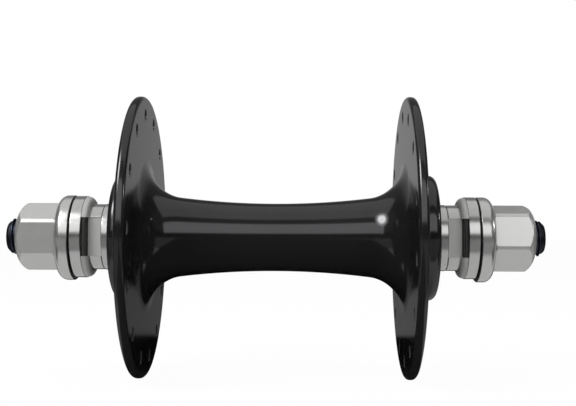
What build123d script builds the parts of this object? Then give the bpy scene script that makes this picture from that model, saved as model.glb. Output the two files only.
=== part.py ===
from build123d import *
import os

# Bicycle front hub of the large-flange track kind, with a solid nutted axle and cartridge bearings.
#
# A one-piece spool shell turns on two deep-groove ball bearings, each pressed into a boss on the outer
# side of a flange. The inner races sit on ground seats of the axle, against its thick middle, and a
# spacer ring and a locknut hold each of them there. The locknuts' outer faces are what the fork ends
# seat on. Outside them, an axle nut with a captive swivelling washer clamps each fork end.
#
# Frame: +Y along the axle, +Z up, in millimetres. The origin is on the axle, midway between the two
# locknut faces. "left" pieces lie at -Y and "right" pieces at +Y. Every piece is drawn for the right
# end, and its left-hand twin is the mirror image in the XZ plane.

# Driving dimensions: fork fit and axle
over_locknut_width = 100.0
axle_length = 134.0
thread_diameter = 9.0
axle_middle_diameter = 12.0

# Driving dimensions: shell
flange_diameter = 70.4
flange_thickness = 2.4
flange_inner_face = 32.2
waist_diameter = 16.94
barrel_sweep = 194.0
flare_radius = 9.7
boss_diameter = 31.3
boss_face = 39.9
axle_tunnel_diameter = 13.5

# Driving dimensions: spoke holes. The phase is the angle of the left flange's first hole, from the top
# of the hub towards +X.
spoke_circle_diameter = 61.0
spoke_hole_diameter = 2.6
spoke_holes_per_flange = 14
left_hole_phase = 8.9

# Driving dimensions: a 10 x 26 x 8 mm deep-groove cartridge bearing
bearing_bore = 10.0
bearing_outer_diameter = 26.0
bearing_width = 8.0
bearing_recess = 0.6
ball_circle_diameter = 18.0
ball_diameter = 4.7625
balls_per_bearing = 7

# Driving dimensions: spacer, locknut, captive washer and axle nut
spacer_diameter = 16.6
locknut_neck_diameter = 16.4
locknut_disc_diameter = 20.5
locknut_flats = 13.0
washer_diameter = 21.3
nut_flats = 15.0
nut_corners = 16.8

# How the loose pieces happen to sit: the turn of each nut's first corner, from +X towards +Z, and how
# far each captive washer hangs below the axle in its play on the nut.
nut_turn = {"left": 28.0, "right": 42.7}
washer_hang = {"left": 0.25, "right": 0.4}

# Stations along the axle, each a distance from the middle of the hub
locknut_face = over_locknut_width / 2
axle_end = axle_length / 2
flange_outer_face = flange_inner_face + flange_thickness
bearing_outside = boss_face - bearing_recess
bearing_inside = bearing_outside - bearing_width
bearing_middle = bearing_outside - bearing_width / 2
spacer_outside = 42.5
disc_inside = 45.5
flats_end = 47.15
washer_outside = 53.9
nut_outside = 64.4

# Clearances: between faces that move past each other, in a thread, and in a pressed or slid fit
face_gap = 0.05
thread_gap = 0.05
seat_gap = 0.02

thread_radius = thread_diameter / 2
threaded_bore = thread_radius + thread_gap


def soften(outline, rounds=(), chamfers=()):
    """Rounds and chamfers corners of an outline. Each entry is ((radius, y) of the corner, size)."""
    for corner, size in rounds:
        outline = fillet(outline.vertices().sort_by_distance(corner)[0], size)
    for corner, size in chamfers:
        outline = chamfer(outline.vertices().sort_by_distance(corner)[0], size)
    return outline


def turned(corners, rounds=(), chamfers=()):
    """A lathe-turned piece: the closed outline of (radius, y) corners, swept round the Y axis."""
    outline = make_face(Polyline(*corners, close=True))
    return revolve(soften(outline, rounds, chamfers), Axis.Y)


def left_of(piece):
    """The mirror image of a right-hand piece, at the left end of the axle."""
    return mirror(piece, about=Plane.XZ)


def around_axle(count, radius, phase=0.0):
    """Places evenly spaced round the axle, each with its local Z pointing away from the axle.

    phase is the first place's angle from +Z towards +X.
    """
    return [Rot(0, phase + number * 360 / count, 0) * Pos(0, 0, radius) for number in range(count)]


def hub_shell():
    """The one-piece shell: barrel, two flanges with spoke holes, and a bearing boss outside each."""
    flange_radius = flange_diameter / 2
    rim_round = 1.0
    # A low land stands inside the band of spoke holes, with a shallow slope up to it.
    land_foot_radius = 27.5
    land_radius = 25.9
    land_height = 0.4
    boss_radius = boss_diameter / 2
    boss_root_fillet = 2.4
    boss_round = 1.8
    # The bearing seat ends in a shoulder for the outer race, relieved where the inner race turns.
    seat_radius = bearing_outer_diameter / 2
    seat_mouth_chamfer = 0.4
    shoulder_radius = 10.9
    relief_depth = 0.7
    tunnel_radius = axle_tunnel_diameter / 2
    waist_radius = waist_diameter / 2

    # The barrel swells from its waist as a parabola, whose curvature at the waist is 1 / barrel_sweep.
    barrel_swell = flange_inner_face**2 / (2 * barrel_sweep)

    def at_left(corner):
        return (corner[0], -corner[1])

    barrel_end = (waist_radius + barrel_swell, flange_inner_face)
    inner_rim = (flange_radius, flange_inner_face)
    outer_rim = (flange_radius, flange_outer_face)
    land_foot = (land_foot_radius, flange_outer_face)
    land_edge = (land_radius, flange_outer_face + land_height)
    boss_root = (boss_radius, flange_outer_face + land_height)
    boss_edge = (boss_radius, boss_face)
    seat_mouth = (seat_radius, boss_face)
    seat_floor = (seat_radius, bearing_inside)
    relief_edge = (shoulder_radius, bearing_inside)
    relief_floor = (shoulder_radius, bearing_inside - relief_depth)
    tunnel_end = (tunnel_radius, bearing_inside - relief_depth)

    right_end = [
        barrel_end, inner_rim, outer_rim, land_foot, land_edge, boss_root, boss_edge,
        seat_mouth, seat_floor, relief_edge, relief_floor, tunnel_end,
    ]
    left_end = [at_left(corner) for corner in reversed(right_end)]
    barrel = Bezier(at_left(barrel_end), (waist_radius - barrel_swell, 0), barrel_end)
    ends_and_tunnel = Polyline(*right_end, *left_end)
    right_rounds = [
        (barrel_end, flare_radius),
        (inner_rim, rim_round),
        (outer_rim, rim_round),
        (boss_root, boss_root_fillet),
        (boss_edge, boss_round),
    ]
    left_rounds = [(at_left(corner), size) for corner, size in right_rounds]
    seat_mouths = [(seat_mouth, seat_mouth_chamfer), (at_left(seat_mouth), seat_mouth_chamfer)]
    outline = make_face([barrel, ends_and_tunnel])
    shell = revolve(soften(outline, right_rounds + left_rounds, seat_mouths), Axis.Y)
    # The right flange's holes lie half a pitch from the left's, as the lacing of the spokes needs.
    right_hole_phase = left_hole_phase - 180 / spoke_holes_per_flange
    return shell - spoke_drills(right_hole_phase) - [
        left_of(drill) for drill in spoke_drills(left_hole_phase)
    ]


def spoke_drills(phase):
    """The drills for the right flange's spoke holes, countersunk at both mouths."""
    countersink = 0.35
    hole_radius = spoke_hole_diameter / 2
    mouth_radius = hole_radius + countersink
    overrun = 1.0
    drill = turned([
        (0, flange_inner_face - overrun),
        (mouth_radius, flange_inner_face - overrun),
        (mouth_radius, flange_inner_face),
        (hole_radius, flange_inner_face + countersink),
        (hole_radius, flange_outer_face - countersink),
        (mouth_radius, flange_outer_face),
        (mouth_radius, flange_outer_face + overrun),
        (0, flange_outer_face + overrun),
    ])
    places = around_axle(spoke_holes_per_flange, spoke_circle_diameter / 2, phase)
    return [place * drill for place in places]


def axle():
    """The solid axle: a thick middle, a ground seat for each inner race, and threaded ends."""
    middle_radius = axle_middle_diameter / 2
    seat_radius = bearing_bore / 2 - seat_gap
    # The seat stops short of the race's outer face, so that the spacer bears on the race alone.
    seat_end = bearing_outside - 0.4
    end_chamfer = 1.1
    seat_chamfer = 0.3
    end_corner = (thread_radius, axle_end)
    middle_corner = (middle_radius, bearing_inside)
    seat_corner = (seat_radius, seat_end)
    right_half = turned(
        [
            (0, 0),
            (middle_radius, 0),
            middle_corner,
            (seat_radius, bearing_inside),
            seat_corner,
            (thread_radius, seat_end),
            end_corner,
            (0, axle_end),
        ],
        chamfers=[(end_corner, end_chamfer), (middle_corner, seat_chamfer), (seat_corner, seat_chamfer)],
    )
    return right_half + left_of(right_half)


# The cartridge bearing. Each of its pieces is drawn about the middle plane of the bearing, y = 0, and
# bearing_pieces moves it to its place.
ball_radius = ball_diameter / 2
ball_circle_radius = ball_circle_diameter / 2
inner_land_radius = 7.4
outer_land_radius = 10.6
shield_seat_radius = 11.3
shield_seat_depth = 0.6
race_edge_chamfer = 0.35


def raceway():
    """The section of the groove that the balls run in, a little wider than a ball."""
    running_gap = 0.03
    return Pos(ball_circle_radius, 0) * Circle(ball_radius + running_gap)


def bearing_inner_race():
    """The inner race, ground to slide onto the axle's seat."""
    bore_radius = bearing_bore / 2
    half_width = bearing_width / 2
    bore_corners = [(bore_radius, -half_width), (bore_radius, half_width)]
    outline = make_face(Polyline(
        bore_corners[0], (inner_land_radius, -half_width), (inner_land_radius, half_width),
        bore_corners[1], close=True,
    ))
    outline = soften(outline, chamfers=[(corner, race_edge_chamfer) for corner in bore_corners])
    return revolve(outline - raceway(), Axis.Y)


def bearing_outer_race():
    """The outer race, with a stepped seat at each side for the shield."""
    outside_radius = bearing_outer_diameter / 2 - seat_gap
    half_width = bearing_width / 2
    shield_floor = half_width - shield_seat_depth
    outside_corners = [(outside_radius, -half_width), (outside_radius, half_width)]
    outline = make_face(Polyline(
        outside_corners[0], outside_corners[1],
        (shield_seat_radius, half_width), (shield_seat_radius, shield_floor),
        (outer_land_radius, shield_floor), (outer_land_radius, -shield_floor),
        (shield_seat_radius, -shield_floor), (shield_seat_radius, -half_width),
        close=True,
    ))
    outline = soften(outline, chamfers=[(corner, race_edge_chamfer) for corner in outside_corners])
    return revolve(outline - raceway(), Axis.Y)


def bearing_balls():
    """The balls of one bearing, as separate solids."""
    places = around_axle(balls_per_bearing, ball_circle_radius)
    return Compound(children=[place * Sphere(ball_radius) for place in places])


def bearing_cage():
    """The moulded crown cage: a ring on one side of the balls, with claws that reach between them."""
    inner_radius = 8.1
    outer_radius = 9.9
    back = -2.7
    claw_tip = 1.1
    pocket_gap = 0.07
    ring = turned([
        (inner_radius, back), (outer_radius, back), (outer_radius, claw_tip), (inner_radius, claw_tip),
    ])
    pocket = Cylinder(ball_radius + pocket_gap, 2 * outer_radius - 2 * inner_radius)
    return ring - [place * pocket for place in around_axle(balls_per_bearing, ball_circle_radius)]


def bearing_shield():
    """The outer one of a bearing's two shields: a pressed steel disc, dished between rim and lip.

    It is held in the outer race, and its lip runs just clear of the inner race.
    """
    sheet = 0.4
    lip_clearance = 0.1
    edge_radius = inner_land_radius + lip_clearance
    rim_radius = shield_seat_radius - seat_gap
    dish_radius = 8.9
    dish_depth = 0.3
    slope_width = 0.4
    back = bearing_width / 2 - shield_seat_depth
    dish_back = back - dish_depth
    return turned([
        (edge_radius, dish_back), (dish_radius, dish_back), (dish_radius + slope_width, back),
        (rim_radius, back), (rim_radius, back + sheet), (dish_radius + slope_width, back + sheet),
        (dish_radius, dish_back + sheet), (edge_radius, dish_back + sheet),
    ])


def spacer():
    """The plain ring between the inner race and the locknut, with a nose that enters the boss."""
    nose_radius = 7.1
    nose_length = bearing_recess
    edge_chamfer = 0.3
    radius = spacer_diameter / 2
    shoulder = bearing_outside + nose_length
    outer_corner = (radius, spacer_outside)
    inner_corner = (radius, shoulder)
    return turned(
        [
            (threaded_bore, bearing_outside),
            (nose_radius, bearing_outside),
            (nose_radius, shoulder),
            inner_corner,
            outer_corner,
            (threaded_bore, spacer_outside),
        ],
        chamfers=[(outer_corner, edge_chamfer), (inner_corner, edge_chamfer)],
    )


def locknut():
    """The locknut: a neck with two flats for a thin spanner, and the disc that the fork end seats on.

    The disc has a coned shoulder towards the neck, and the flats are milled a little way into it.
    """
    neck_radius = locknut_neck_diameter / 2
    disc_radius = locknut_disc_diameter / 2
    shoulder_cone = 1.8
    face_round = 0.4
    neck_chamfer = 0.3
    neck_corner = (neck_radius, spacer_outside)
    disc_corner = (disc_radius, disc_inside)
    face_corner = (disc_radius, locknut_face)
    body = turned(
        [
            (threaded_bore, spacer_outside),
            neck_corner,
            (neck_radius, disc_inside),
            disc_corner,
            face_corner,
            (threaded_bore, locknut_face),
        ],
        rounds=[(face_corner, face_round)],
        chamfers=[(disc_corner, shoulder_cone), (neck_corner, neck_chamfer)],
    )
    spare = 1.0
    depth = disc_radius
    length = flats_end - spacer_outside + spare
    middle = flats_end - length / 2
    flat_cutter = Box(depth, length, 2 * disc_radius)
    offset = locknut_flats / 2 + depth / 2
    return body - [Pos(offset, middle, 0) * flat_cutter, Pos(-offset, middle, 0) * flat_cutter]


# The captive washer turns on a neck of the axle nut, whose end is spread into a lip that keeps it on.
neck_radius = 6.3
neck_end = 50.6
lip_radius = 7.2
lip_thickness = 1.0


def captive_washer():
    """The swivelling washer of an axle nut: thick, with a big round shoulder towards the nut."""
    radius = washer_diameter / 2
    shoulder_round = 2.1
    face_round = 0.4
    bore_radius = neck_radius + 0.5
    counterbore_radius = lip_radius + 0.8
    counterbore_floor = neck_end + lip_thickness + 0.4
    face = locknut_face + face_gap
    shoulder = (radius, washer_outside)
    face_corner = (radius, face)
    return turned(
        [
            (counterbore_radius, face),
            face_corner,
            shoulder,
            (bore_radius, washer_outside),
            (bore_radius, counterbore_floor),
            (counterbore_radius, counterbore_floor),
        ],
        rounds=[(shoulder, shoulder_round), (face_corner, face_round)],
    )


def axle_nut():
    """The axle nut: a hexagon with a domed outer end, on a neck that carries the captive washer."""
    corner_radius = nut_corners / 2
    dome_radius = 5.2
    dome_start = 62.2
    seat = washer_outside + face_gap
    seat_chamfer = 0.25
    mouth_chamfer = 0.6
    mouth_radius = threaded_bore + mouth_chamfer
    seat_corner = (corner_radius, seat)
    neck_mouth = (threaded_bore, neck_end)
    dome = RadiusArc((corner_radius, dome_start), (mouth_radius, nut_outside), -dome_radius)
    rest = Polyline(
        (mouth_radius, nut_outside),
        (threaded_bore, nut_outside - mouth_chamfer),
        neck_mouth,
        (lip_radius, neck_end),
        (lip_radius, neck_end + lip_thickness),
        (neck_radius, neck_end + lip_thickness),
        (neck_radius, seat),
        seat_corner,
        (corner_radius, dome_start),
    )
    outline = soften(
        make_face([dome, rest]),
        chamfers=[(seat_corner, seat_chamfer), (neck_mouth, mouth_chamfer)],
    )
    blank = revolve(outline, Axis.Y)
    overrun = 1.0
    across_the_axle = Plane(origin=(0, neck_end - overrun, 0), x_dir=(1, 0, 0), z_dir=(0, 1, 0))
    hexagon = across_the_axle * RegularPolygon(nut_flats / 2, 6, major_radius=False)
    return blank & extrude(hexagon, nut_outside - neck_end + 2 * overrun)


def bearing_pieces():
    """The pieces of the right-hand bearing, at its place on the axle."""
    shield = bearing_shield()
    pieces = {
        "bearing_outer_race": bearing_outer_race(),
        "bearing_inner_race": bearing_inner_race(),
        "bearing_balls": bearing_balls(),
        "bearing_cage": bearing_cage(),
        "bearing_outer_shield": shield,
        "bearing_inner_shield": left_of(shield),
    }
    return {name: Pos(0, bearing_middle, 0) * piece for name, piece in pieces.items()}


def all_pieces():
    """Every piece by its node name."""
    pieces = {"hub_shell": hub_shell(), "axle": axle()}
    right_end = bearing_pieces()
    right_end["spacer"] = spacer()
    right_end["locknut"] = locknut()
    right_end["captive_washer"] = captive_washer()
    right_end["axle_nut"] = axle_nut()
    for side in ("left", "right"):
        for name, piece in right_end.items():
            placed = left_of(piece) if side == "left" else piece
            if name == "captive_washer":
                placed = Pos(0, 0, -washer_hang[side]) * placed
            if name == "axle_nut":
                placed = Rot(0, -nut_turn[side], 0) * placed
            pieces[f"{side}_{name}"] = placed
    return pieces


os.makedirs("parts", exist_ok=True)
for node, piece in all_pieces().items():
    export_step(piece, f"parts/{node}.step")
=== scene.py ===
from math import atan2, cos, hypot, pi, radians, sin, sqrt, tan

import bmesh
import bpy
from mathutils import Matrix, Vector


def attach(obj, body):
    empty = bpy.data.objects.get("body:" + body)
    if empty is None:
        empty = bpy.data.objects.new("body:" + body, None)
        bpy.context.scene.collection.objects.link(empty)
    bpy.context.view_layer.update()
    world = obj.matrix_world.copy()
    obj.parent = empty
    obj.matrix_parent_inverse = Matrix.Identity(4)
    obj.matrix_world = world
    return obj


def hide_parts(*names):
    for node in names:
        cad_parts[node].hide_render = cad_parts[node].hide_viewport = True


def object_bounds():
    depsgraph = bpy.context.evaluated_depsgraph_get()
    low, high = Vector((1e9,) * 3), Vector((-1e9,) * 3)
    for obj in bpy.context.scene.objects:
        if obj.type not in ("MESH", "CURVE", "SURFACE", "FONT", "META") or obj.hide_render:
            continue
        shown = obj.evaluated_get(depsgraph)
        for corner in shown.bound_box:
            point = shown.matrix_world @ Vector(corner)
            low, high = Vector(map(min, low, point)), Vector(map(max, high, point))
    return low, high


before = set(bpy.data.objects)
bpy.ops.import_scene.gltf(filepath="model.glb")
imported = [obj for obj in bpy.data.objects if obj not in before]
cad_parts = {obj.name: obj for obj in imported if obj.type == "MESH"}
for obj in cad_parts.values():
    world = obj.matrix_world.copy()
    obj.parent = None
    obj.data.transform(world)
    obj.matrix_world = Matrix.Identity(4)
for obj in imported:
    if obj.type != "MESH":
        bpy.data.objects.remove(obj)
cad_low, cad_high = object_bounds()

MM = 0.001
SIDES = {"left": -1, "right": 1}


# Camera. It stands level with the axle, a quarter of a metre in front of the hub and a little to the right
# of its middle, and looks slightly up, so the axle line lies below the middle of the picture.
camera = bpy.data.objects.new("camera", bpy.data.cameras.new("camera"))
camera.data.sensor_width = 36.0
camera.data.lens = 63.254
camera.data.clip_start = 0.01
stand = (0.25465, 0.00694, 0.0)
look_yaw, look_pitch, look_roll = 0.0148, 0.0340, -0.0042
camera.matrix_world = (
    Matrix.Translation(stand)
    @ Matrix.Rotation(pi / 2 + look_yaw, 4, "Z")
    @ Matrix.Rotation(pi / 2 + look_pitch, 4, "X")
    @ Matrix.Rotation(-look_roll, 4, "Z")
)
bpy.context.scene.collection.objects.link(camera)
bpy.context.scene.camera = camera


# Table and light. The hub lies on its two flange rims on a table, under a broad softbox, with a wide one in
# front, a round lamp to the left of that and a small one off the right end. To the metal, the table has pale
# patches of painted light at each end of the hub and painted shade round them. The camera sees it white,
# with a soft shadow.
class Shade:
    """A value, vector or colour on its way through shader nodes, so that shader maths reads as sums."""

    def __init__(self, tree, socket):
        self.tree = tree
        self.socket = socket

    def node(self, kind, settings, values, output=0):
        """The output of a new node, after its settings are made and its sockets hold values or links."""
        node = self.tree.nodes.new(kind)
        for name, value in settings.items():
            setattr(node, name, value)
        for place, value in values.items():
            if isinstance(value, Shade):
                self.tree.links.new(value.socket, node.inputs[place])
            else:
                node.inputs[place].default_value = value
        return Shade(self.tree, node.outputs[output])

    def maths(self, operation, first, second=0.0):
        return self.node("ShaderNodeMath", {"operation": operation}, {0: first, 1: second})

    def __add__(self, other):
        return self.maths("ADD", self, other)

    __radd__ = __add__

    def __mul__(self, other):
        return self.maths("MULTIPLY", self, other)

    __rmul__ = __mul__

    def __sub__(self, other):
        return self.maths("SUBTRACT", self, other)

    def __rsub__(self, other):
        return self.maths("SUBTRACT", other, self)

    def __truediv__(self, other):
        return self.maths("DIVIDE", self, other)

    def __abs__(self):
        return self.maths("ABSOLUTE", self)

    def step(self, low, high):
        """0 where the value is at low, 1 where it is at high, and a smooth change between them."""
        return self.node(
            "ShaderNodeMapRange",
            {"interpolation_type": "SMOOTHSTEP"},
            {"Value": self, "From Min": low, "From Max": high, "To Min": 0.0, "To Max": 1.0},
        )

    def fade(self, low, high):
        """1 where the value is at low, 0 where it is at high, and a smooth change between them."""
        return 1 - self.step(low, high)

    def noise(self, scale, detail, roughness=0.5):
        """Even noise from 0 to 1 at places given by this vector."""
        return self.node(
            "ShaderNodeTexNoise", {},
            {"Vector": self, "Scale": scale, "Detail": detail, "Roughness": roughness},
        )

    def parts(self):
        """The X, Y and Z of this vector."""
        return [self.node("ShaderNodeSeparateXYZ", {}, {0: self}, output=axis) for axis in range(3)]


def vector(x, y, z):
    """A vector put together from values, at least the first of which is a Shade."""
    return x.node("ShaderNodeCombineXYZ", {}, {"X": x, "Y": y, "Z": z})


def emptied(owner, output_kind, coordinates):
    """Clears the shader of a material or world. Returns the socket for its new surface, the place on it, and
    two values that are 1 for a ray from the camera and for a ray from a mirror-like surface."""
    owner.use_nodes = True
    tree = owner.node_tree
    tree.nodes.clear()
    surface = tree.nodes.new(output_kind).inputs["Surface"]
    place = Shade(tree, tree.nodes.new("ShaderNodeTexCoord").outputs[coordinates])
    rays = tree.nodes.new("ShaderNodeLightPath").outputs
    return surface, place, Shade(tree, rays["Is Camera Ray"]), Shade(tree, rays["Is Glossy Ray"])


gap_below_rims = 0.05
bm = bmesh.new()
bmesh.ops.create_grid(bm, x_segments=1, y_segments=1, size=30.0)
bmesh.ops.translate(bm, verts=bm.verts, vec=(0, 0, cad_low.z - gap_below_rims * MM))
mesh = bpy.data.meshes.new("table")
bm.to_mesh(mesh)
bm.free()
table = bpy.data.objects.new("table", mesh)
bpy.context.scene.collection.objects.link(table)

# In a mirror each patch of the table is where it lies, in metres from the hub's middle, times its brightness.
# The patches are painted light, and the dark round them, as under the barrel between the flanges, is painted
# shade that only mirrors see.
white = (1.0, 1.0, 1.0, 1.0)
white_table = bpy.data.materials.new("white_table")
surface, place, seen, mirrored = emptied(white_table, "ShaderNodeOutputMaterial", "Object")
x, y, _ = place.parts()
dusk = x.step(-0.030, 0.010) * 0.02
past_flanges = abs(y).step(0.038, 0.044) * abs(y).fade(0.26, 0.34) * abs(x).fade(0.040, 0.055)
past_nuts = abs(y).step(0.080, 0.100) * x.step(-0.014, -0.002)
near_ends = past_flanges * (1 - past_nuts) * 0.68
front_ends = abs(y).step(0.042, 0.050) * x.step(0.045, 0.060) * x.fade(0.5, 1.5) * 0.25
far_strip = x.fade(-0.120, -0.100) * x.step(-0.50, -0.44) * 0.15
patches = dusk + near_ends + front_ends + far_strip
white_to_camera = 0.97
paint = place.node("ShaderNodeBsdfDiffuse", {}, {"Color": (0.8, 0.8, 0.8, 1.0)})
glow = place.node("ShaderNodeEmission", {}, {"Color": white, "Strength": 1.0})
dark = place.node("ShaderNodeEmission", {}, {"Color": (0.0, 0.0, 0.0, 1.0), "Strength": 0.0})
sheet = place.node("ShaderNodeMixShader", {}, {0: patches, 1: dark, 2: glow})
lit = place.node("ShaderNodeMixShader", {}, {0: seen * white_to_camera, 1: paint, 2: glow})
whole = place.node("ShaderNodeMixShader", {}, {0: mirrored, 1: lit, 2: sheet})
whole.tree.links.new(whole.socket, surface)
table.data.materials.append(white_table)

# Round the table the camera sees white. A mirror sees a bright wall behind the hub and a dim sky in front,
# and room_light falls on all that isn't a mirror.
world = bpy.data.worlds.new("studio")
bpy.context.scene.world = world
surface, towards, seen, mirrored = emptied(world, "ShaderNodeOutputWorld", "Generated")
x, y, z = towards.parts()
wall_light, least_behind, sky_in_front, room_light = 0.42, 0.03, 0.10, 0.45
behind = x.fade(-0.25, 0.10)
wall = z.step(0.02, 0.05) * (1 - z.step(0.20, 0.45) * 0.65) * abs(y).fade(0.55, 0.80) * wall_light
in_mirror = behind * (wall + least_behind) + (1 - behind) * z.step(0.17, 0.21) * sky_in_front
strength = seen + (1 - seen) * (mirrored * in_mirror + (1 - mirrored) * room_light)
shine = towards.node("ShaderNodeBackground", {}, {"Color": white, "Strength": strength})
shine.tree.links.new(shine.socket, surface)


def softbox(name, middle, width, height, radiance, shape="RECTANGLE"):
    """A softbox whose face looks at the hub. radiance is how bright it is seen in a mirror."""
    lamp = bpy.data.lights.new(name, "AREA")
    lamp.shape = shape
    lamp.size = width
    lamp.size_y = height
    face_area = width * height * (pi / 4 if shape == "ELLIPSE" else 1)
    lamp.energy = radiance * 4 * face_area
    box = bpy.data.objects.new(name, lamp)
    aim = (-Vector(middle)).to_track_quat("-Z", "Y")
    box.matrix_world = Matrix.Translation(middle) @ aim.to_matrix().to_4x4()
    box.visible_camera = False
    bpy.context.scene.collection.objects.link(box)


softbox("overhead_softbox", (-0.05, 0.0, 0.55), 1.1, 0.75, 0.50)
softbox("front_softbox", (0.70, 0.0, 0.38), 1.5, 0.46, 1.05)
softbox("left_front_lamp", (0.343, -0.404, 0.530), 0.29, 0.29, 8.5, "ELLIPSE")
softbox("left_front_lamp_edge", (0.345, -0.406, 0.532), 0.46, 0.46, 1.8, "ELLIPSE")
softbox("right_side_lamp", (-0.021, 0.658, 0.239), 0.08, 0.08, 14.0, "ELLIPSE")


# Axle. A solid steel rod with a black oxide finish: a thick middle that the bearings' inner races are held
# against, a ground seat for each of them, and an M9 x 1 thread from each seat out to a chamfered end.
def turned_over(corners):
    """The same corners on the other side of the hub's middle, in reverse order."""
    return [(radius, -station, *rounding) for radius, station, *rounding in reversed(corners)]


def wire(bm, corners, closed=True):
    """Draws an outline in mm. Each corner is (radius, distance along the axle, rounding radius or nothing).
    A rounding of 1.4 mm has a segment for every 9 degrees, and a larger one has more."""
    verts = [bm.verts.new((corner[0] * MM, corner[1] * MM, 0)) for corner in corners]
    for first, second in zip(verts, verts[1:]):
        bm.edges.new((first, second))
    if closed:
        bm.edges.new((verts[-1], verts[0]))
    for vert, corner in zip(verts, corners):
        if len(corner) < 3:
            continue
        rounding = corner[2]
        before, after = (edge.other_vert(vert).co - vert.co for edge in vert.link_edges)
        turn = pi - before.angle(after)
        bmesh.ops.bevel(
            bm, geom=[vert], offset=rounding * MM * tan(turn / 2), offset_type="OFFSET", affect="VERTICES",
            segments=max(3, round(turn / radians(9) * sqrt(rounding) / 1.2)), profile=0.5, material=-1,
        )


def swept(bm, parts, steps, centre=(0, 0, 0), rise=0.0, closed=True):
    """Sweeps parts of the bmesh one turn round a line along the axle. They rise along it on the way."""
    bmesh.ops.spin(
        bm, geom=parts, cent=centre, axis=(0, 1, 0), dvec=(0, rise, 0), angle=2 * pi, steps=steps,
        use_merge=closed, use_duplicate=False,
    )


def spun(bm, steps, along=1):
    """Sweeps the outlines in the bmesh, which have no faces yet, once round the axle. They are drawn for the
    right end of the hub, and along turns the whole over to the left if it is -1."""
    lines = [edge for edge in bm.edges if not edge.link_faces]
    corners = dict.fromkeys(vert for edge in lines for vert in edge.verts)
    swept(bm, list(corners) + lines, steps)
    bmesh.ops.remove_doubles(bm, verts=bm.verts, dist=0.001 * MM)
    bmesh.ops.scale(bm, vec=(1, along, 1), verts=bm.verts)


def verts_among(parts):
    """The vertices among parts of a bmesh."""
    return [part for part in parts if isinstance(part, bmesh.types.BMVert)]


def cut_off(bm, point, facing):
    """Removes what lies beyond a plane, from a point on it and the way it faces. Returns the cut's edges."""
    cut = bmesh.ops.bisect_plane(
        bm, geom=bm.verts[:] + bm.edges[:] + bm.faces[:], dist=1e-7, plane_co=point, plane_no=facing,
        clear_outer=True, clear_inner=False,
    )
    return [part for part in cut["geom_cut"] if isinstance(part, bmesh.types.BMEdge)]


def made(bm, name, material, body, node, crease=35.0):
    """Makes a piece of a finished bmesh. It stands for the CAD node and moves with the body. Edges that turn
    by more than crease, in degrees, look sharp."""
    bmesh.ops.recalc_face_normals(bm, faces=bm.faces)
    for face in bm.faces:
        face.smooth = True
    for edge in bm.edges:
        if len(edge.link_faces) == 2 and edge.calc_face_angle() > radians(crease):
            edge.smooth = False
    mesh = bpy.data.meshes.new(name)
    bm.to_mesh(mesh)
    bm.free()
    mesh.materials.append(material)
    piece = bpy.data.objects.new(name, mesh)
    bpy.context.scene.collection.objects.link(piece)
    even = piece.modifiers.new("even_shading", "WEIGHTED_NORMAL")
    even.keep_sharp = True
    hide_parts(node)
    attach(piece, body)


def principled(name, **constants):
    """A new material, its shader, and the place on the piece in mm. Constants are set on the shader."""
    material = bpy.data.materials.new(name)
    material.use_nodes = True
    tree = material.node_tree
    shader = tree.nodes["Principled BSDF"]
    for socket, value in constants.items():
        shader.inputs[socket.replace("_", " ")].default_value = value
    place = Shade(tree, tree.nodes.new("ShaderNodeTexCoord").outputs["Object"])
    place = place.node("ShaderNodeVectorMath", {"operation": "SCALE"}, {0: place, "Scale": 1 / MM})
    return material, shader, place


def feed(shader, **values):
    """Links values that change over the surface to the shader's sockets."""
    for socket, value in values.items():
        value.tree.links.new(value.socket, shader.inputs[socket.replace("_", " ")])


def round_the_axle(place):
    """Radius from the axle, distance along it, and angle round it, of a place in mm."""
    x, y, z = place.parts()
    radius = place.maths("SQRT", x * x + z * z)
    return radius, y, place.maths("ARCTAN2", z, x)


def lathe_marks(place, fineness):
    """Uneven fine rings such as a turning tool leaves, from 0 to 1."""
    radius, along, angle = round_the_axle(place)
    return vector(radius * fineness, along * fineness, angle * 0.35).noise(1.0, 3.0, 0.6)


def bumped(place, height, depth_mm):
    """A surface normal that follows a height from 0 to 1."""
    return place.node("ShaderNodeBump", {}, {"Strength": 1.0, "Distance": depth_mm * MM, "Height": height})


def tinted(place, amount, dark, light):
    """A colour from dark to light by an amount from 0 to 1."""
    return place.node(
        "ShaderNodeMix", {"data_type": "RGBA"}, {0: amount, 6: (*dark, 1.0), 7: (*light, 1.0)}, output=2
    )


middle_radius, seat_radius, thread_radius = 6.0, 4.98, 4.5
seat_start, seat_end, axle_end = 31.3, 38.9, 67.0
nut_end = 64.2

black_oxide, shader, place = principled("black_oxide", Metallic=1.0, Specular_Tint=(0.5, 0.51, 0.56, 1.0))
radius, along, _ = round_the_axle(place)
crest = radius.step(thread_radius - 0.12, thread_radius - 0.02)
worn_crest = crest * place.noise(2.2, 3.0).step(0.42, 0.62)
cloud = place.noise(0.9, 4.0)
# Painted light: the thread beside each nut is paler, for the light that the nut's zinc throws on it.
painted_light_beside_nut = abs(abs(along) - nut_end).fade(0.5, 1.7)
paleness = worn_crest * 0.35 + painted_light_beside_nut * 0.3 + cloud * 0.15
feed(
    shader,
    Base_Color=tinted(place, paleness, (0.023, 0.023, 0.026), (0.12, 0.14, 0.21)),
    Roughness=0.30 + cloud * 0.18,
    Normal=bumped(place, place.noise(7.0, 3.0), 0.006),
)

chamfer = 0.3
bm = bmesh.new()
right_half = [
    (middle_radius, seat_start - chamfer), (middle_radius - chamfer, seat_start), (seat_radius, seat_start),
    (seat_radius, seat_end - chamfer), (seat_radius - chamfer, seat_end), (0.0, seat_end),
]
wire(bm, turned_over(right_half) + right_half, closed=False)
spun(bm, 96)
made(bm, "axle_rod", black_oxide, "axle_set", "axle")

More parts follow.
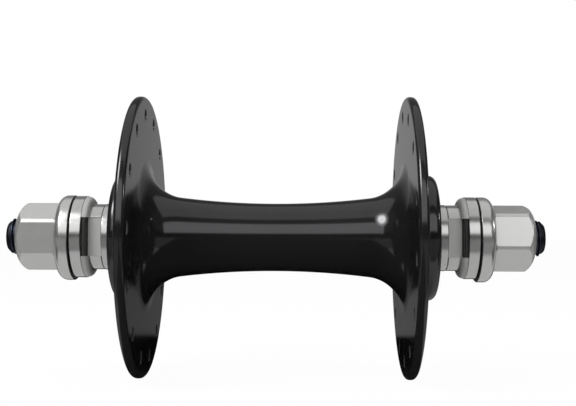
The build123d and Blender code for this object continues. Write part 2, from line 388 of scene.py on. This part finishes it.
# A thread is one turn of one groove, swept up the axle a millimetre a turn and repeated, cut off square at
# both ends, and turned down to the chamfer at its outer end.
pitch, steps_per_turn, end_chamfer = 1.0, 60, 1.1
root_radius = thread_radius - 0.6134 * pitch
groove_by_pitch = [
    (root_radius, 0.0), (root_radius, 0.14), (thread_radius, 0.44),
    (thread_radius, 0.62), (root_radius, 0.94), (root_radius, 1.0),
]
rise = pitch * MM / steps_per_turn
for side, along in SIDES.items():
    start, finish = sorted((along * seat_end, along * axle_end))
    below = start - 2.0 * pitch
    bm = bmesh.new()
    wire(bm, [(radius, below + share * pitch) for radius, share in groove_by_pitch], closed=False)
    swept(bm, bm.verts[:] + bm.edges[:], steps_per_turn, rise=rise, closed=False)
    one_turn = bm.verts[:] + bm.edges[:] + bm.faces[:]
    for turn in range(1, round(finish - start) + 3):
        copy = bmesh.ops.duplicate(bm, geom=one_turn)["geom"]
        bmesh.ops.translate(bm, verts=verts_among(copy), vec=(0, turn * pitch * MM, 0))
    bmesh.ops.remove_doubles(bm, verts=bm.verts, dist=0.002 * MM)
    for vert in bm.verts:
        into_chamfer = max(0.0, along * vert.co.y / MM - (axle_end - end_chamfer))
        allowed = (thread_radius - into_chamfer) * MM
        radius = hypot(vert.co.x, vert.co.z)
        if radius > allowed > 0:
            vert.co.x *= allowed / radius
            vert.co.z *= allowed / radius
    for end, facing in ((start, -1), (finish, 1)):
        end_circle = cut_off(bm, (0, end * MM, 0), (0, facing, 0))
        bmesh.ops.triangle_fill(bm, use_beauty=True, edges=end_circle)
    made(bm, f"{side}_axle_thread", black_oxide, "axle_set", "axle", crease=28.0)


# Cartridge bearings. One is pressed into the boss outside each flange: ground steel races, seven balls in a
# moulded nylon crown, and a pressed steel shield at each face that is held in the outer race.
def bare_steel(name, fineness, cloud, dark, light, roughness, spread, depth_mm):
    """Steel with the rings that grinding or pressing leaves. cloud is its noise's scale and detail."""
    material, shader, place = principled(name, Metallic=1.0)
    marks = lathe_marks(place, fineness)
    feed(
        shader,
        Base_Color=tinted(place, place.noise(*cloud), dark, light),
        Roughness=roughness + marks * spread,
        Normal=bumped(place, marks, depth_mm),
    )
    return material


ground_steel = bare_steel(
    "ground_steel", 9.0, (0.7, 3.0), (0.40, 0.40, 0.39), (0.50, 0.50, 0.49), 0.20, 0.16, 0.004
)
pressed_steel = bare_steel(
    "pressed_steel", 5.0, (1.1, 4.0), (0.24, 0.24, 0.235), (0.33, 0.33, 0.32), 0.30, 0.2, 0.008
)
polished_steel, shader, place = principled("polished_steel", Metallic=1.0)
feed(
    shader,
    Base_Color=tinted(place, place.noise(0.8, 2.0), (0.62, 0.62, 0.62), (0.72, 0.72, 0.72)),
    Roughness=0.06 + place.noise(1.6, 3.0) * 0.06,
)
cream_nylon, shader, place = principled(
    "cream_nylon", Subsurface_Weight=0.1, Subsurface_Radius=(0.001, 0.001, 0.0008)
)
grain = place.noise(6.0, 3.0)
feed(
    shader,
    Base_Color=tinted(place, place.noise(0.5, 3.0), (0.56, 0.50, 0.37), (0.66, 0.60, 0.46)),
    Roughness=0.42 + grain * 0.12,
    Normal=bumped(place, grain, 0.01),
)

bearing_middle, bearing_half, shelf_depth = 35.3, 4.0, 0.6
ball_circle, groove, outer_land, inner_land = 9.0, 2.41125, 10.6, 7.4
shelf = bearing_half - shelf_depth
races = {
    "outer_race": ("shell", 1, outer_land, [
        (12.98, bearing_half, 0.35), (11.3, bearing_half), (11.3, shelf), (outer_land, shelf),
    ]),
    "inner_race": ("axle_set", -1, inner_land, [
        (5.0, bearing_half, 0.35), (inner_land, bearing_half, 0.15),
    ]),
}
shield_section = [
    (7.5, 3.1), (8.9, 3.1, 0.3), (9.3, 3.4, 0.5), (11.28, 3.4), (11.28, 3.8, 0.15), (9.3, 3.8, 0.4),
    (8.9, 3.5, 0.5), (7.5, 3.5, 0.12),
]
for side, along in SIDES.items():
    for race, (body, outwards, land, face_side) in races.items():
        node = f"{side}_bearing_{race}"
        lip = sqrt(groove**2 - (land - ball_circle) ** 2)
        half_arc = atan2(lip, abs(land - ball_circle))
        groove_corner = (ball_circle + outwards * groove / cos(half_arc), 0.0, groove)
        section = face_side + [(land, lip), groove_corner, (land, -lip)] + turned_over(face_side)
        bm = bmesh.new()
        wire(bm, [(radius, station + bearing_middle, *rounding) for radius, station, *rounding in section])
        spun(bm, 120, along)
        made(bm, node, ground_steel, body, node)
    for shield, facing in (("outer_shield", 1), ("inner_shield", -1)):
        node = f"{side}_bearing_{shield}"
        bm = bmesh.new()
        wire(bm, [
            (radius, bearing_middle + facing * offset, *rounding)
            for radius, offset, *rounding in shield_section
        ])
        spun(bm, 120, along)
        made(bm, node, pressed_steel, "shell", node, crease=50.0)
    for name, material in (("balls", polished_steel), ("cage", cream_nylon)):
        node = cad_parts[f"{side}_bearing_{name}"]
        node.data.materials.clear()
        node.data.materials.append(material)


# Hub shell. One piece of aluminium, turned, drilled and black anodised: a barrel that swells from its waist
# into two large flanges, each with 14 countersunk spoke holes, and a bearing boss outside each flange.
spoke_circle, hole, countersink, holes = 30.5, 1.3, 0.35, 14
first_hole = radians(8.9)
hole_step = 2 * pi / holes
black_anodised, shader, place = principled(
    "black_anodised", Metallic=0.84, Specular_Tint=(0.6, 0.6, 0.61, 1.0)
)
marks = lathe_marks(place, 3.5)
smudge = place.noise(0.06, 4.0)
radius, along, angle = round_the_axle(place)
turns = (pi / 2 - angle - first_hole) / hole_step + along.step(-0.1, 0.1) * 0.5
from_hole = (turns - turns.maths("ROUND", turns)) * radius * hole_step
off_circle = radius - spoke_circle
distance = place.maths("SQRT", from_hole * from_hole + off_circle * off_circle)
countersink_edge = hole + countersink
past_hole = distance.step(hole + 0.02, hole + 0.10)
# The countersink lips are paler: partly worn bare edges, partly a painted highlight for the glints they
# catch.
lip = past_hole * distance.fade(countersink_edge - 0.06, countersink_edge + 0.03)
paleness = smudge * 0.02 + marks * 0.02 + lip * 0.22
feed(
    shader,
    Base_Color=tinted(place, paleness, (0.046, 0.046, 0.048), (0.50, 0.50, 0.50)),
    Roughness=0.09 + marks * 0.04 + smudge * 0.04 + lip * 0.15,
    Normal=bumped(place, marks, 0.0012),
)

waist, barrel_sweep, flare, barrel_cuts = 8.47, 194.0, 9.7, 47
web_inside, web_outside, rim, rim_rounding = 32.2, 34.6, 35.185, 1.0
band_inside, band_outside = 28.4, 32.6


def barrel_radius(station):
    """The barrel's radius at a distance along the axle, in mm."""
    return waist + station**2 / (2 * barrel_sweep)


# The flare leaves the barrel where the barrel's slope meets it, so its corner lies on that tangent.
flare_start = (web_inside - flare) / (1 - flare / barrel_sweep)
slope = flare_start / barrel_sweep
flare_corner = barrel_radius(flare_start) + (web_inside - flare_start) * slope
barrel_end = flare_start - 0.15
bm = bmesh.new()
for side, along in SIDES.items():
    for number in range(holes):
        turn = first_hole + (number - (side == "right") / 2) * hole_step
        middle = Vector((sin(turn), 0, cos(turn))) * spoke_circle * MM
        wall = [
            bm.verts.new(middle + Vector((radius * MM, along * station * MM, 0)))
            for radius, station in (
                (countersink_edge, web_inside), (hole, web_inside + countersink),
                (hole, web_outside - countersink), (countersink_edge, web_outside),
            )
        ]
        lines = [bm.edges.new(pair) for pair in zip(wall, wall[1:])]
        swept(bm, wall + lines, 32, centre=middle)
inside = [
    (barrel_radius(barrel_end), barrel_end), (flare_corner, web_inside, flare), (band_inside, web_inside),
]
wire(bm, turned_over(inside) + inside, closed=False)
barrel = [edge for edge in bm.edges if edge.calc_length() > barrel_end * MM]
bmesh.ops.subdivide_edges(bm, edges=barrel, cuts=barrel_cuts)
for vert in bm.verts:
    if abs(vert.co.y) < (barrel_end - 0.01) * MM:
        vert.co.x = barrel_radius(vert.co.y / MM) * MM
boss = [
    (band_inside, web_outside), (27.5, web_outside), (25.9, 35.0), (15.65, 35.0, 2.4), (15.65, 39.9, 1.8),
    (13.4, 39.9), (13.0, 39.5), (13.0, 31.3), (10.9, 31.3), (10.9, 30.6), (6.75, 30.6, 0.2),
]
wire(bm, boss + turned_over(boss), closed=False)
for along in SIDES.values():
    wire(bm, [
        (band_outside, along * web_inside), (rim, along * web_inside, rim_rounding),
        (rim, along * web_outside, rim_rounding), (band_outside, along * web_outside),
    ], closed=False)
spun(bm, 252)

# The band that holds the spoke holes is filled in flat, between its two edge circles and the holes.
for station in (-web_outside, -web_inside, web_inside, web_outside):
    edges = [
        edge for edge in bm.edges
        if edge.is_boundary and all(abs(vert.co.y - station * MM) < 1e-6 for vert in edge.verts)
    ]
    bmesh.ops.triangle_fill(bm, use_beauty=True, edges=edges)
made(bm, "hub_shell_turned", black_anodised, "shell", "hub_shell", crease=30.0)


# Spacers. A plain zinc-plated steel ring at each end, between the inner race and the locknut. Its narrow
# nose goes into the boss and bears on the inner race alone.
def plated(name, metallic, dark, light, roughness, fineness, depth_mm, serrated=(), milled=()):
    """Zinc plate over turned steel, in greys from dark to light. serrated is a face's distance along the
    axle, inner radius and outer radius. milled is a pair of flats' distance from the axle, where they end
    along it, and half the width of their slot."""
    material, shader, place = principled(name, Metallic=metallic)
    radius, along, angle = round_the_axle(place)
    marks = lathe_marks(place, fineness)
    bloom = place.noise(0.45, 4.0)
    height = marks
    shade = dark / light + (1 - dark / light) * (bloom * 0.6 + marks * 0.4)
    rough = roughness + marks * 0.10 + bloom * 0.08
    if serrated:
        station, inner, outer = serrated
        off_face = abs(abs(along) - station)
        teeth_round, tooth_height = 72.0, 36.0
        teeth = place.maths("SINE", angle * teeth_round) * 0.5 + 0.5
        on_face = off_face.fade(0.02, 0.12) * radius.step(inner, inner + 0.2)
        height = marks + teeth * on_face * radius.fade(outer - 0.2, outer) * tooth_height
        # Painted shade darkens the joint between a disc and its washer.
        joint_shade = off_face.fade(0.05, 0.38) * radius.step(9.7, 9.9)
        shade = shade * (1 - joint_shade * 0.9)
    if milled:
        half_width, end, half_slot = milled
        x, y, z = place.parts()
        scratch_height = 9.0
        in_slot = abs(z).fade(half_slot - 0.05, half_slot + 0.05)
        flat = abs(abs(x) - half_width).fade(0.01, 0.04) * abs(along).fade(end - 0.02, end)
        scratches = vector(x * 0.2, y * 0.5, z * 9.0).noise(1.0, 3.0)
        height = height + flat * scratches * scratch_height
        # The shoulder is whole beside the slot. The pocket is the slot's rounded end under the disc.
        shoulder = radius.step(8.3, 8.5) * abs(along).fade(end - 0.1, end) * (1 - in_slot)
        # Painted shade darkens the pocket.
        shaded_pocket = abs(x).step(half_width + 0.01, half_width + 0.10) * abs(along).step(end - 1.72, end - 1.60)
        shaded_pocket = shaded_pocket * abs(along).fade(end, end + 0.02) * in_slot
        # A painted dark line of shade runs round the disc's edge where it meets the shoulder.
        disc_edge_shade = abs(abs(along) - end).fade(0.02, 0.15) * radius.step(9.9, 10.1)
        shade = shade * (1 + flat * 0.55 - shaded_pocket * 0.5 - disc_edge_shade * 0.5)
        rough = rough + flat * 0.30 + shoulder * 0.25
        feed(shader, Metallic=metallic - shoulder * 0.65 - flat * 0.25)
    feed(
        shader,
        Base_Color=tinted(place, shade, (0.0, 0.0, 0.0), (light, light, light * 0.985)),
        Roughness=rough,
        Normal=bumped(place, height, depth_mm),
    )
    return material


thread_bore = 4.55
spacer_start, spacer_end = 39.3, 42.5
bright_zinc = plated("bright_zinc", 0.92, 0.46, 0.54, 0.15, 6.0, 0.002)
for side, along in SIDES.items():
    node = f"{side}_spacer"
    bm = bmesh.new()
    wire(bm, [
        (thread_bore, spacer_start), (7.1, spacer_start, 0.1), (7.1, 39.9), (8.3, 39.9, 0.3),
        (8.3, spacer_end, 0.3), (thread_bore, spacer_end),
    ])
    spun(bm, 144, along)
    made(bm, node, bright_zinc, "axle_set", node)


# Locknuts. Each is a zinc-plated steel nut that holds its bearing up: a neck that opens in a round shoulder
# to a disc, whose serrated outer face the fork end seats on, and two 13 mm flats milled a little way into
# the shoulder.
def joined(bm, part):
    """Adds a finished bmesh to another one, and frees it."""
    mesh = bpy.data.meshes.new("joined")
    part.to_mesh(mesh)
    part.free()
    bm.from_mesh(mesh)
    bpy.data.meshes.remove(mesh)


half_flats, half_slot, flats_end, cutter_rounding = 6.5, 4.75, 47.15, 1.7
neck_radius, disc_radius, disc_face, face_round = 8.2, 10.25, 50.0, 0.4
seat_zinc = plated(
    "seat_zinc", 0.90, 0.46, 0.54, 0.12, 6.0, 0.002,
    serrated=(disc_face, 6.6, 10.0), milled=(half_flats, flats_end, half_slot),
)
up, front = Vector((0, 0, 1)), Vector((1, 0, 0))
upper_edge, lower_edge = (up, half_slot), (-up, half_slot)
slot_and_sides = [
    [upper_edge, lower_edge, (front, half_flats), (-front, half_flats)],
    [(-up, -half_slot)],
    [(up, -half_slot)],
]
for side, along in SIDES.items():
    node = f"{side}_locknut"
    neck = bmesh.new()
    wire(neck, [
        (thread_bore, spacer_end), (neck_radius, spacer_end, 0.25), (neck_radius, 45.5), (9.65, 45.5, 1.3),
        (10.22, flats_end), (10.05, flats_end + 0.2), (thread_bore, flats_end + 0.2),
    ])
    spun(neck, 180)
    bm = bmesh.new()
    # The neck is in three: a middle slab, which the flats are cut from, and whole parts above and below it.
    for cuts in slot_and_sides:
        part = neck.copy()
        for outwards, reach in cuts:
            bmesh.ops.holes_fill(part, edges=cut_off(part, outwards * reach * MM, outwards), sides=0)
        joined(bm, part)
    neck.free()
    # A block on each flat has the rounding that the cutter leaves at the slot's end, under the disc.
    for facing in (-1, 1):
        run_out = bmesh.new()
        wire(run_out, [
            (half_flats - 0.2, flats_end - 1.75), (half_flats, flats_end - 1.75),
            (half_flats, flats_end, cutter_rounding), (neck_radius + 0.2, flats_end),
            (neck_radius + 0.2, flats_end + 0.15), (half_flats - 0.2, flats_end + 0.15),
        ])
        bmesh.ops.translate(run_out, verts=run_out.verts, vec=(0, 0, -half_slot * MM))
        lower_end = bmesh.ops.contextual_create(run_out, geom=run_out.edges[:])["faces"]
        raised = bmesh.ops.extrude_face_region(run_out, geom=lower_end, use_keep_orig=True)["geom"]
        bmesh.ops.translate(run_out, verts=verts_among(raised), vec=(0, 0, 2 * half_slot * MM))
        bmesh.ops.scale(run_out, vec=(facing, 1, 1), verts=run_out.verts)
        joined(bm, run_out)
    wire(bm, [
        (thread_bore, flats_end), (disc_radius - 0.05, flats_end), (disc_radius, flats_end + 0.05),
        (disc_radius, disc_face, face_round), (thread_bore, disc_face),
    ])
    spun(bm, 180, along)
    made(bm, node, seat_zinc, "axle_set", node)


# Captive washers. A thick zinc-plated washer swivels on the neck of each axle nut and clamps the fork end.
# It is loose on the neck, so it hangs a little low, the right one more than the left.
washer_face, washer_back, washer_step, washer_radius = 50.05, 53.9, 52.0, 10.65
clamp_zinc = plated("clamp_zinc", 0.86, 0.49, 0.57, 0.15, 6.0, 0.002, serrated=(washer_face, 8.2, 10.3))
hang = {"left": 0.25, "right": 0.4}
for side, along in SIDES.items():
    node = f"{side}_captive_washer"
    bm = bmesh.new()
    wire(bm, [
        (8.0, washer_face), (washer_radius, washer_face, 0.4), (washer_radius, washer_back, 2.1),
        (6.8, washer_back, 0.1), (6.8, washer_step), (8.0, washer_step),
    ])
    spun(bm, 180, along)
    bmesh.ops.translate(bm, verts=bm.verts, vec=(0, 0, -hang[side] * MM))
    made(bm, node, clamp_zinc, f"{side}_washer", node)


# Axle nuts. A forged 15 mm hexagon with a turned dome at its outer end and rounded corners, satin zinc
# plated, on a neck whose end is spread into a lip that keeps the washer on.
satin_zinc = plated("satin_zinc", 0.78, 0.50, 0.58, 0.24, 2.5, 0.004)
nut_turn = {"left": 28.0, "right": 42.7}
half_hexagon, corner_radius, corner_blend, lip_radius = 7.5, 8.4, 0.10, 7.2


def hexagon_radius(angle):
    """How far the hexagon's sides are from the axle at an angle from its first corner, in mm."""
    from_flat = (angle - pi / 6) % (pi / 3)
    from_flat = min(from_flat, pi / 3 - from_flat)
    return half_hexagon / cos(from_flat)


for side, along in SIDES.items():
    node = f"{side}_axle_nut"
    bm = bmesh.new()
    wire(bm, [
        (5.05, 50.6), (lip_radius, 50.6, 0.15), (lip_radius, 51.6, 0.15), (6.3, 51.6), (6.3, 53.95),
        (8.15, 53.95, 0.1), (corner_radius, 54.20, 0.2), (corner_radius, 62.2, 0.4), (7.223, 63.962, 4.8),
        (5.15, 64.4, 0.1), (thread_bore, 63.8), (thread_bore, 51.1),
    ])
    spun(bm, 360, along)
    # The turned blank is brought in to the hexagon everywhere outside its lip, with a blend at the corners.
    for vert in bm.verts:
        radius = hypot(vert.co.x, vert.co.z) / MM
        flat = hexagon_radius(atan2(vert.co.z, vert.co.x) - radians(nut_turn[side]))
        overlap = max(corner_blend - abs(radius - flat), 0.0)
        kept = min(radius, flat) - overlap**2 / (4 * corner_blend)
        if radius > lip_radius + 0.1:
            vert.co.x *= kept / radius
            vert.co.z *= kept / radius
    made(bm, node, satin_zinc, f"{side}_nut", node, crease=40.0)


# Colour. The picture is shown with the Standard view transform.
bpy.context.scene.view_settings.view_transform = "Standard"
